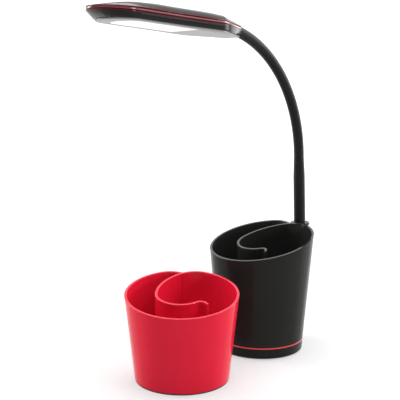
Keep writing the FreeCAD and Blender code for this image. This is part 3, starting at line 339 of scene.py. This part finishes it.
def noise(tree, vector, scale, detail, roughness):
    """Soft random values, with so much fine detail in them."""
    node = add_node(tree, "ShaderNodeTexNoise")
    feed(tree, node.inputs["Vector"], vector)
    feed(tree, node.inputs["Scale"], scale)
    feed(tree, node.inputs["Detail"], detail)
    feed(tree, node.inputs["Roughness"], roughness)
    return node.outputs["Fac"]


def mix(tree, amount, low, high):
    """Blend two colours by an amount."""
    node = add_node(tree, "ShaderNodeMix", data_type="RGBA")
    feed(tree, node.inputs["Factor"], amount)
    sockets = [item for item in node.inputs if item.type == "RGBA"]
    for socket, value in zip(sockets, (low, high)):
        feed(tree, socket, value if isinstance(value, bpy.types.NodeSocket) else (*value, 1))
    return [item for item in node.outputs if item.type == "RGBA"][0]


print("node groups so far", len(bpy.data.node_groups))

# %% Wiped skin
SMEAR, SMEAR_SCALE, GRAIN_SCALE = 0.05, 30.0, 900.0
SMEAR_DETAIL, SMEAR_SOFTNESS = 3.0, 0.55
GRAIN_DETAIL, GRAIN_SOFTNESS = 2.0, 0.6
PLAIN_ROUGHNESS = 0.2


def wiped_skin_group():
    """Roughness that varies in soft smears, and a fine height for orange peel or grain."""
    group, given, result = effect_group(
        "wiped_skin",
        [("Roughness", PLAIN_ROUGHNESS), ("Smear", SMEAR),
         ("Smear Scale", SMEAR_SCALE), ("Grain Scale", GRAIN_SCALE)],
        ["Roughness", "Height", "Mottle"])
    place = object_place(group)
    soft = noise(group, place, given.outputs["Smear Scale"], SMEAR_DETAIL, SMEAR_SOFTNESS)
    swing = maths(group, "MULTIPLY", maths(group, "SUBTRACT", soft, 0.5),
                  given.outputs["Smear"])
    rough = maths(group, "ADD", given.outputs["Roughness"], swing)
    feed(group, result.inputs["Roughness"], rough)
    grain = noise(group, place, given.outputs["Grain Scale"], GRAIN_DETAIL, GRAIN_SOFTNESS)
    feed(group, result.inputs["Height"], grain)
    feed(group, result.inputs["Mottle"], soft)
    return group


wiped_skin = wiped_skin_group()
print(wiped_skin.name, "has", len(wiped_skin.nodes), "nodes")

# %% [markdown]
# Every finish of the lamp starts from one shader.  Its colour drifts a little between two
# tones, its roughness and its fine height come from the wiped skin, and a low mirror level
# keeps black plastic black where it faces the pale room.

# %% Mouldings
SKIN_DEPTH = 0.02 * MM
COAT_ROUGHNESS = 0.04


def new_material(name):
    """A material with a Principled shader and nothing else."""
    material = bpy.data.materials.new(name)
    material.use_nodes = True
    tree = material.node_tree
    tree.nodes.clear()
    shader = add_node(tree, "ShaderNodeBsdfPrincipled")
    out = add_node(tree, "ShaderNodeOutputMaterial")
    feed(tree, out.inputs["Surface"], shader.outputs[0])
    return material, tree, shader


def skin(tree, shader, roughness, smear=SMEAR, smear_scale=SMEAR_SCALE,
         grain_scale=GRAIN_SCALE, depth=SKIN_DEPTH):
    """Give a material the wiped skin, its grain so many metres deep."""
    effect = place_effect(tree, wiped_skin)
    for label, value in (("Roughness", roughness), ("Smear", smear),
                         ("Smear Scale", smear_scale), ("Grain Scale", grain_scale)):
        effect.inputs[label].default_value = value
    feed(tree, shader.inputs["Roughness"], effect.outputs["Roughness"])
    bump = add_node(tree, "ShaderNodeBump")
    bump.inputs["Distance"].default_value = depth
    feed(tree, bump.inputs["Height"], effect.outputs["Height"])
    feed(tree, shader.inputs["Normal"], bump.outputs[0])
    return effect


finishes = {}


def moulded(name, dark, light, roughness, coat=0.0, metallic=0.0, mirror=0.5, **skin_values):
    """Add a finish whose colour drifts a little between two tones."""
    material, tree, shader = new_material(name)
    effect = skin(tree, shader, roughness, **skin_values)
    colour = mix(tree, effect.outputs["Mottle"], dark, light)
    feed(tree, shader.inputs["Base Color"], colour)
    shader.inputs["Coat Weight"].default_value = coat
    shader.inputs["Coat Roughness"].default_value = COAT_ROUGHNESS
    shader.inputs["Metallic"].default_value = metallic
    shader.inputs["Specular IOR Level"].default_value = mirror
    finishes[name] = material


print("skin", SKIN_DEPTH / MM, "mm deep")

# %% [markdown]
# The lamp cup is glossy black, and its rim mirrors more of the light overhead.  The tray,
# the collar and the sleeve of the neck are duller blacks, and the pad is rubber with a
# coarse grain.  They could share one black, but side by side each real piece has its own.

# %% Black finishes
moulded("black_gloss", (0.014, 0.0147, 0.0134), (0.020, 0.0206, 0.019), 0.14, mirror=0.06)
moulded("black_rim", (0.010, 0.010, 0.009), (0.015, 0.015, 0.014), 0.10, mirror=0.4)
moulded("pad_rubber", (0.012, 0.012, 0.012), (0.022, 0.022, 0.021), 0.75,
        grain_scale=2500.0, depth=0.1 * MM)
moulded("tray_black", (0.007, 0.007, 0.007), (0.011, 0.011, 0.011), 0.28, mirror=0.12)
moulded("collar_dark", (0.008, 0.008, 0.008), (0.014, 0.014, 0.014), 0.26, mirror=0.12)
moulded("sleeve_black", (0.006, 0.0065, 0.006), (0.011, 0.0115, 0.011), 0.40, mirror=0.12,
        smear=0.1, smear_scale=60.0, grain_scale=1600.0, depth=0.05 * MM)
moulded("jack_black", (0.010, 0.010, 0.010), (0.018, 0.018, 0.018), 0.4)
moulded("clamp_black", (0.014, 0.014, 0.014), (0.026, 0.026, 0.026), 0.55,
        grain_scale=2000.0)
moulded("foot_black", (0.010, 0.010, 0.010), (0.020, 0.020, 0.020), 0.6)
print(len(finishes), "finishes with the blacks")

# %% [markdown]
# The loose cup is one solid red.  Its rim is a deeper red with more mirror, since a sharp
# round edge shows the room.  The thin line round the lamp's foot is a trim ring of its own
# and is clear coated.

# %% Red finishes
moulded("red_gloss", (0.62, 0.009, 0.030), (0.68, 0.012, 0.038), 0.14, mirror=0.10)
moulded("red_rim", (0.50, 0.008, 0.026), (0.56, 0.011, 0.034), 0.10, mirror=0.3)
moulded("red_line", (0.55, 0.010, 0.018), (0.70, 0.016, 0.026), 0.18, coat=0.5)
print(len(finishes), "finishes with the reds")

# %% [markdown]
# Under the head a matt grey frame holds an opal panel, and behind the panel lies a white
# light box.  The panel needs no glow of its own: the paper below it lights it evenly.

# %% Finishes of the light panel
moulded("frame_grey", (0.21, 0.205, 0.205), (0.25, 0.245, 0.245), 0.38, mirror=0.3,
        grain_scale=2200.0)
moulded("diffuser_white", (0.90, 0.90, 0.90), (0.95, 0.95, 0.95), 0.45)
moulded("reflector_white", (0.80, 0.80, 0.79), (0.88, 0.88, 0.87), 0.5)
moulded("chip_yellow", (0.80, 0.62, 0.10), (0.92, 0.76, 0.20), 0.3, smear_scale=700.0)
print(len(finishes), "finishes with the panel")

# %% [markdown]
# Metals have their colour in the mirror, so Metallic is full and the two tones are bright.
# The boards and their parts are small, and take a finer smear than the large mouldings.

# %% Metals and boards
moulded("steel", (0.42, 0.43, 0.45), (0.60, 0.61, 0.62), 0.30, metallic=1.0,
        smear=0.15, smear_scale=90.0)
moulded("pin_brass", (0.70, 0.48, 0.18), (0.86, 0.64, 0.28), 0.25, metallic=1.0,
        smear_scale=300.0)
moulded("board_aluminium", (0.66, 0.67, 0.68), (0.78, 0.79, 0.80), 0.35, metallic=1.0,
        smear_scale=160.0)
moulded("sensor_copper", (0.72, 0.36, 0.22), (0.84, 0.46, 0.30), 0.28, metallic=1.0,
        smear_scale=220.0)
moulded("board_green", (0.008, 0.09, 0.03), (0.016, 0.15, 0.05), 0.35, smear_scale=260.0)
moulded("parts_dark", (0.02, 0.02, 0.022), (0.05, 0.05, 0.052), 0.5, smear_scale=200.0)
print(len(finishes), "finishes with the metals and boards")

# %% [markdown]
# The head's red strip is clear red plastic with deep red edges.  Its bright middle is a
# painted highlight.  Beside it the glossy black shells get a painted dark red glow.  The
# colours could be painted on by hand.  Here they follow the distance from the strip's middle,
# and one group measures it for all three materials.

# %% Distance across the strip
HEAD_TIP_UP, HEAD_TWIST = 3.4, 1.0
head_turn = (Matrix.Rotation(math.radians(-HEAD_TIP_UP), 3, "X")
             @ Matrix.Rotation(math.radians(-HEAD_TWIST), 3, "Y"))
strip = nodes["head_trim_strip"]
heights = [(head_turn.inverted() @ (strip.matrix_world @ vertex.co)).z
           for vertex in strip.data.vertices]
STRIP_MIDDLE = (max(heights) + min(heights)) / 2
STRIP_HALF = (max(heights) - min(heights)) / 2


def across_strip_group():
    """Distance from the middle of the strip, in half heights of it."""
    group, given, result = effect_group(
        "across_strip", [("Middle", STRIP_MIDDLE), ("Half", STRIP_HALF)], ["Across"])
    level = add_node(group, "ShaderNodeMapping", vector_type="TEXTURE")
    feed(group, level.inputs["Vector"], object_place(group))
    level.inputs["Rotation"].default_value = head_turn.to_euler()
    place = add_node(group, "ShaderNodeSeparateXYZ")
    feed(group, place.inputs[0], level.outputs[0])
    above = maths(group, "SUBTRACT", place.outputs["Z"], given.outputs["Middle"])
    share = maths(group, "DIVIDE", maths(group, "ABSOLUTE", above), given.outputs["Half"])
    feed(group, result.inputs["Across"], share)
    return group


across_strip = across_strip_group()
print(f"strip at {STRIP_MIDDLE / MM:.2f} mm, half {STRIP_HALF / MM:.2f} mm")


# %% Strip and shells of the head
def head_finish(name, middle, edge, reach, roughness, mirror):
    """Add a gloss whose colour goes from painted light at the strip's middle to others past a
    reach.
    """
    material, tree, shader = new_material(name)
    effect = skin(tree, shader, roughness)
    distance = place_effect(tree, across_strip)
    fade = stretch(tree, distance.outputs["Across"], *reach)
    soft = mix(tree, effect.outputs["Mottle"], *edge)
    feed(tree, shader.inputs["Base Color"], mix(tree, fade, middle, soft))
    shader.inputs["Specular IOR Level"].default_value = mirror
    finishes[name] = material


# The bright red is a painted highlight along the strip's middle, not the plastic's own colour.
STRIP_PAINTED_HIGHLIGHT, SHELL_PAINTED_GLOW = (0.20, 0.010, 0.022), (0.07, 0.003, 0.007)
deep_red = ((0.05, 0.003, 0.005), (0.07, 0.004, 0.007))
deep_black = ((0.009, 0.0095, 0.0085), (0.014, 0.0145, 0.013))
head_finish("red_strip", STRIP_PAINTED_HIGHLIGHT, deep_red, (0.1, 0.8), 0.12, mirror=0.8)
# Next to the strip both shells get a painted dark red glow that fades into their own black.
head_finish("keel_gloss", SHELL_PAINTED_GLOW, deep_black, (1.0, 2.1), 0.12, mirror=0.10)
head_finish("hood_gloss", SHELL_PAINTED_GLOW, deep_black, (1.0, 2.4), 0.14, mirror=0.45)
print(len(finishes), "finishes in all")

# %% [markdown]
# The paper has a faint tooth.  It is grey by itself, and the light from above and a glow
# of its own make it white.  The glow is weaker near the lamp, so that the soft shadows
# under the cups stay, and it grows to full some way off, where the lights don't reach.

# %% Paper
PAPER_DARK, PAPER_LIGHT = (0.31, 0.31, 0.31), (0.34, 0.34, 0.34)
PAPER_ROUGHNESS, PAPER_MIRROR, TOOTH_DEPTH = 0.85, 0.1, 0.2 * MM
PAPER_GLOW, NEAR_SHARE = 0.95, 0.44
GLOW_FROM, GLOW_FULL = 0.4, 1.6


def paper_material():
    """Matt paper whose glow grows with the distance from the lamp."""
    material, tree, shader = new_material("studio_paper")
    effect = skin(tree, shader, PAPER_ROUGHNESS, smear_scale=2.0, grain_scale=700.0,
                  depth=TOOTH_DEPTH)
    tone = mix(tree, effect.outputs["Mottle"], PAPER_DARK, PAPER_LIGHT)
    feed(tree, shader.inputs["Base Color"], tone)
    shader.inputs["Specular IOR Level"].default_value = PAPER_MIRROR
    far = add_node(tree, "ShaderNodeVectorMath", operation="LENGTH")
    feed(tree, far.inputs[0], object_place(tree))
    lit = stretch(tree, far.outputs["Value"], GLOW_FROM, GLOW_FULL, NEAR_SHARE, 1.0)
    feed(tree, shader.inputs["Emission Color"], lit)
    shader.inputs["Emission Strength"].default_value = PAPER_GLOW
    return material


sweep.data.materials.append(paper_material())
print(f"paper glow {PAPER_GLOW * NEAR_SHARE:.2f} near the lamp, {PAPER_GLOW} far from it")

# %% [markdown]
# The record says which finish each solid takes, so the materials go on by that list and
# not by hand, and no solid is forgotten.

# %% Dress the solids
node_slot = {row["node"]: row["material_slot"] for row in frame["record"]["subparts"]}


def dress(piece, slot_name, finish=None):
    piece.data.materials.clear()
    piece.data.materials.append(finishes[finish or slot_name])


for name, node in nodes.items():
    dress(node, node_slot[name])
print("dressed", len(nodes), "solids")

# %% [markdown]
# A solid from the model has hard edges.  A moulding never does: its rims are rounded by the
# tool and catch a thin line of light.  So some solids are copied, the loose triangles of
# the copy are merged, and chosen edges are bevelled.

# %% Copy a solid as one clean mesh
MERGE_WITHIN, FLAT_WITHIN = 0.01 * MM, 0.03


def clean_copy(node_name, name):
    """A copy of a solid with its triangles joined and its flat faces made whole."""
    piece = nodes[node_name].copy()
    piece.data = nodes[node_name].data.copy()
    bpy.context.scene.collection.objects.link(piece)
    piece.name = piece.data.name = name
    piece.parent = None
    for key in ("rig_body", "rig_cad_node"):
        del piece[key]
    unselected(piece, "VERT")
    edit_on()
    bpy.ops.mesh.select_all(action="SELECT")
    bpy.ops.mesh.remove_doubles(threshold=MERGE_WITHIN)
    bpy.ops.mesh.dissolve_limited(angle_limit=math.radians(FLAT_WITHIN))
    edit_off()
    return piece


print("points closer than", MERGE_WITHIN / MM, "mm become one")

# %% Round chosen edges and shade the rest smooth
FACE_WEIGHT = 80


def select_edges(piece, test):
    """Select the edges for which test(normals of the two faces, middle) is true."""
    mesh = piece.data
    sides = {edge.key: [] for edge in mesh.edges}
    for face in mesh.polygons:
        for key in face.edge_keys:
            sides[key].append(face.normal.copy())
    unselected(piece, "EDGE")
    count = 0
    for edge in mesh.edges:
        middle = (mesh.vertices[edge.vertices[0]].co + mesh.vertices[edge.vertices[1]].co) / 2
        edge.select = len(sides[edge.key]) == 2 and test(sides[edge.key], middle)
        count += edge.select
    return count


def round_edges(piece, radius, segments, test, clamp=True):
    """Bevel the chosen edges, and clamped, by no more than the edges beside them allow."""
    count = select_edges(piece, test)
    edit_on()
    bpy.ops.mesh.bevel(offset=radius, segments=segments, affect="EDGES", clamp_overlap=clamp)
    edit_off()
    return count


def smooth(piece, degrees):
    """Shade a piece smooth, save where its faces meet at more than an angle."""
    only(piece)
    bpy.ops.object.shade_smooth_by_angle(angle=math.radians(degrees))


def even_normals(piece):
    """Shade large faces by their own slope, whatever small round edges lie beside them."""
    even = piece.modifiers.new("even_normals", "WEIGHTED_NORMAL")
    even.keep_sharp, even.weight = True, FACE_WEIGHT
    apply_modifier(piece, even)


print("pieces to copy from", len(nodes))

# %% [markdown]
# Each cup is one moulding whose wall rolls in as a spiral, cut off by one sloping plane.
# The rim's edges could be picked by hand.  In code they are known by their two faces: one
# lies in the sloping plane and the other doesn't.  What ends up on top takes a finish that
# mirrors more, as a thin round edge does.

# %% Cups with rounded rims
LAMP_SLOPE, RED_SLOPE, RED_TURN = 13.2, 9.6, 44.0
LAMP_RIM_ABOVE, RED_RIM_ABOVE = 90 * MM, 60 * MM
RIM_ROUND, RIM_STEPS, RIM_SLACK = 0.75 * MM, 3, 0.1 * MM
IN_PLANE, CUP_CREASE = 0.999, 35


def rim_test(high, slope_up):
    """Edges between the sloping rim's face and a wall, above a height."""
    def test(normals, middle):
        facing = [normal.dot(slope_up) > IN_PLANE for normal in normals]
        return middle.z > high and facing[0] != facing[1]
    return test


def rounded_cup(node_name, name, up, high, body, rim):
    """A copy of a cup with a round rim that has its own finish."""
    cup = clean_copy(node_name, name)
    count = round_edges(cup, RIM_ROUND, RIM_STEPS, rim_test(high, up))
    smooth(cup, CUP_CREASE)
    even_normals(cup)
    dress(cup, node_slot[node_name])
    cup.data.materials.append(finishes[rim])
    level = [vertex.co.dot(up) for vertex in cup.data.vertices]
    least = max(level) - RIM_ROUND - RIM_SLACK
    for face in cup.data.polygons:
        face.material_index = int(min(level[i] for i in face.vertices) > least)
    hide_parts(node_name)
    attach(cup, body)
    print(name, "rim edges", count, "faces", len(cup.data.polygons))


lamp_up = Matrix.Rotation(math.radians(LAMP_SLOPE), 3, "X") @ Vector((0, 0, 1))
red_up = (Matrix.Rotation(math.radians(RED_TURN), 3, "Z")
          @ Matrix.Rotation(math.radians(RED_SLOPE), 3, "X") @ Vector((0, 0, 1)))
rounded_cup("lamp_cup", "lamp_cup_shell", lamp_up, LAMP_RIM_ABOVE, "base", "black_rim")
rounded_cup("red_cup", "red_cup_shell", red_up, RED_RIM_ABOVE, "loose_cup", "red_rim")

# %% [markdown]
# The light head is two glossy shells with a red strip between them, a grey frame below and
# a white panel that lights the desk.  Their long curves are copied from the solids, and
# each visible corner gets a small round, because that thin line of light is what makes a
# moulding look moulded.  The strip is rounded most, so it mirrors one narrow line.  Its
# bevel isn't clamped, since short edges beside it would hold it back to almost none.

# %% Head shells, strip, frame and panel
CORNER, HEAD_CREASE, OUTSIDE_REACH = 55, 34, 5 * MM
EDGE_ROUND, PANEL_ROUND, STRIP_ROUND = 0.3 * MM, 0.2 * MM, 1.15 * MM
EDGE_STEPS, STRIP_STEPS = 2, 5


def sharp_test(degrees):
    """Edges whose two faces meet at more than an angle."""
    least = math.radians(degrees)
    return lambda normals, middle: normals[0].angle(normals[1], 0) > least


def outer_test(degrees, centre):
    """Sharp edges round the outside of a ring, not those round its hole."""
    sharp = sharp_test(degrees)

    def test(normals, middle):
        outward = max(normal.dot(middle - centre) for normal in normals)
        return sharp(normals, middle) and outward > OUTSIDE_REACH
    return test


def softened(node_name, name, radius, segments, ring=False, finish=None):
    """A copy of a solid with rounded corners that stands for it on its body."""
    piece = clean_copy(node_name, name)
    points = [vertex.co for vertex in piece.data.vertices]
    centre = sum(points, Vector()) / len(points)
    test = outer_test(CORNER, centre) if ring else sharp_test(CORNER)
    count = round_edges(piece, radius, segments, test, clamp=not ring)
    smooth(piece, HEAD_CREASE)
    dress(piece, node_slot[node_name], finish)
    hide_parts(node_name)
    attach(piece, node_body[node_name])
    print(f"{name}: {count} corners rounded, {len(piece.data.polygons)} faces")


node_body = {name: body for body, names in frame["record"]["behaviour"]["bodies"].items()
             for name in names}
softened("head_top_shell", "head_hood", EDGE_ROUND, EDGE_STEPS, finish="hood_gloss")
softened("head_lower_shell", "head_keel", EDGE_ROUND, EDGE_STEPS, finish="keel_gloss")
softened("head_trim_strip", "head_stripe", STRIP_ROUND, STRIP_STEPS, ring=True)
softened("head_bottom_frame", "head_frame", EDGE_ROUND, EDGE_STEPS)
softened("diffuser", "light_panel", PANEL_ROUND, EDGE_STEPS)

# %% [markdown]
# A gooseneck is a steel spring in a smooth plastic sleeve, so its outside shows no links.
# The model's hinges lie evenly on one arc.  Three of them give the arc's middle, and from
# there every place on the neck is a number of links away from the first hinge.

# %% Arc of the neck, read from its hinges
hinges = [Vector(joint["pos_m"]) for joint in frame["joints"] if joint["type"] == "hinge"]
neck_bodies = ["base"] + [joint["child"] for joint in frame["joints"]
                          if joint["type"] == "hinge"]


def circle_middle(first, second, third):
    """Middle of the circle through three points of the plane x = 0."""
    a, b, c = (Vector((point.y, point.z)) for point in (first, second, third))
    spread = 2 * (a.x * (b.y - c.y) + b.x * (c.y - a.y) + c.x * (a.y - b.y))
    squares = [point.length_squared for point in (a, b, c)]
    y = (squares[0] * (b.y - c.y) + squares[1] * (c.y - a.y)
         + squares[2] * (a.y - b.y)) / spread
    z = (squares[0] * (c.x - b.x) + squares[1] * (a.x - c.x)
         + squares[2] * (b.x - a.x)) / spread
    return Vector((0, y, z))


arc_middle = circle_middle(hinges[0], hinges[3], hinges[-1])
link_turn = (hinges[0] - arc_middle).angle(hinges[1] - arc_middle)
print(f"bend radius {(hinges[0] - arc_middle).length / MM:.1f} mm, "
      f"one link {math.degrees(link_turn):.2f} degrees")


def on_arc(links):
    """Middle of the neck a number of links past the first hinge."""
    return arc_middle + Matrix.Rotation(link_turn * links, 3, "X") @ (hinges[0] - arc_middle)


# %% [markdown]
# Each stretch of sleeve is a ring, carried along the neck from the middle of one link to
# the middle of the next, along the arc across the hinge between them.  One long tube would
# be simpler to make.  Rings that end in the middle of a link meet there without a gap.

# %% Rings for the neck's sleeve
SLEEVE_RADIUS, SLEEVE_WALL, STEM_RADIUS = 5.0 * MM, 1.3 * MM, 5.75 * MM
RING_POINTS, SLEEVE_CREASE = 64, 40
SEAM_WITHIN = 0.001 * MM
stem_turn = math.atan2(arc_middle.z - hinges[0].z, arc_middle.y - hinges[0].y)
lean = math.radians(180) - abs(stem_turn)
stem_up = Matrix.Rotation(lean, 3, "X") @ Vector((0, 0, 1))


def start_ring(name, place, turn, radius):
    """An open ring of points round the neck, left in edit mode."""
    bpy.ops.object.select_all(action="DESELECT")
    bpy.ops.mesh.primitive_circle_add(
        vertices=RING_POINTS, radius=radius, location=place, rotation=(turn, 0, 0))
    piece = bpy.context.object
    piece.name = piece.data.name = name
    settle(piece)
    edit_on()
    bpy.ops.mesh.select_all(action="SELECT")
    return piece


def ring_up(distance, steps=1):
    """Carry the selected ring along the straight stem."""
    for _ in range(steps):
        bpy.ops.mesh.extrude_region_move(
            TRANSFORM_OT_translate={"value": stem_up * (distance / steps)})


def spin_ring(links, steps):
    """Carry the selected ring along the arc."""
    bpy.ops.mesh.spin(steps=steps, angle=-link_turn * links, center=arc_middle, axis=(1, 0, 0))


def finish_sleeve(piece, body_before, body_after, blend_start, blend_end, *replaced):
    """Give the tube its wall, which closes its ends."""
    bpy.ops.mesh.select_all(action="SELECT")
    bpy.ops.mesh.remove_doubles(threshold=SEAM_WITHIN)
    bpy.ops.mesh.normals_make_consistent(inside=False)
    edit_off()
    wall = piece.modifiers.new("sleeve_wall", "SOLIDIFY")
    wall.thickness, wall.offset = SLEEVE_WALL, -1
    apply_modifier(piece, wall)
    smooth(piece, SLEEVE_CREASE)
    dress(piece, "sleeve_black")
    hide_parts(*replaced)
    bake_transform(piece)


print("the stem leans", round(math.degrees(lean), 2), "degrees")

# %% [markdown]
# The lowest stretch is the stem, which is straight and thicker.  Its ring goes up, narrows
# to the sleeve's size over a short taper, and then follows the arc for half a link.

# %% Stem
TAPER_START, TAPER_END, STEM_LENGTH = 50 * MM, 69 * MM, 72.5 * MM
LINK_STEPS, TOP_STEPS = 8, 3
stem_foot = hinges[0] - stem_up * STEM_LENGTH
taper_top = stem_foot + stem_up * TAPER_END
piece = start_ring("neck_cover_1", stem_foot, lean, STEM_RADIUS)
ring_up(TAPER_START)
ring_up(TAPER_END - TAPER_START)
bpy.ops.transform.resize(value=(SLEEVE_RADIUS / STEM_RADIUS,) * 3, center_override=taper_top)
ring_up(STEM_LENGTH - TAPER_END, TOP_STEPS)
spin_ring(0.5, LINK_STEPS // 2)
finish_sleeve(piece, "base", neck_bodies[1], taper_top, on_arc(0.5),
              "neck_stem", "neck_sleeve_1")
print("stem faces", len(piece.data.polygons))

# %% [markdown]
# The other stretches differ only in their place on the arc, so a loop makes them.  The
# last one goes on for half a link more, to the ferrule of the head.

# %% Bending sleeve
for link in range(1, len(hinges)):
    last = link == len(hinges) - 1
    piece = start_ring(f"neck_cover_{link + 1}", on_arc(link - 0.5),
                       lean + link_turn * (link - 0.5), SLEEVE_RADIUS)
    spin_ring(1.5 if last else 1.0, LINK_STEPS * (3 if last else 2) // 2)
    finish_sleeve(piece, neck_bodies[link], neck_bodies[link + 1],
                  on_arc(link - 0.5), on_arc(link + 0.5), f"neck_sleeve_{link + 1}")
print("neck covers", len(hinges))
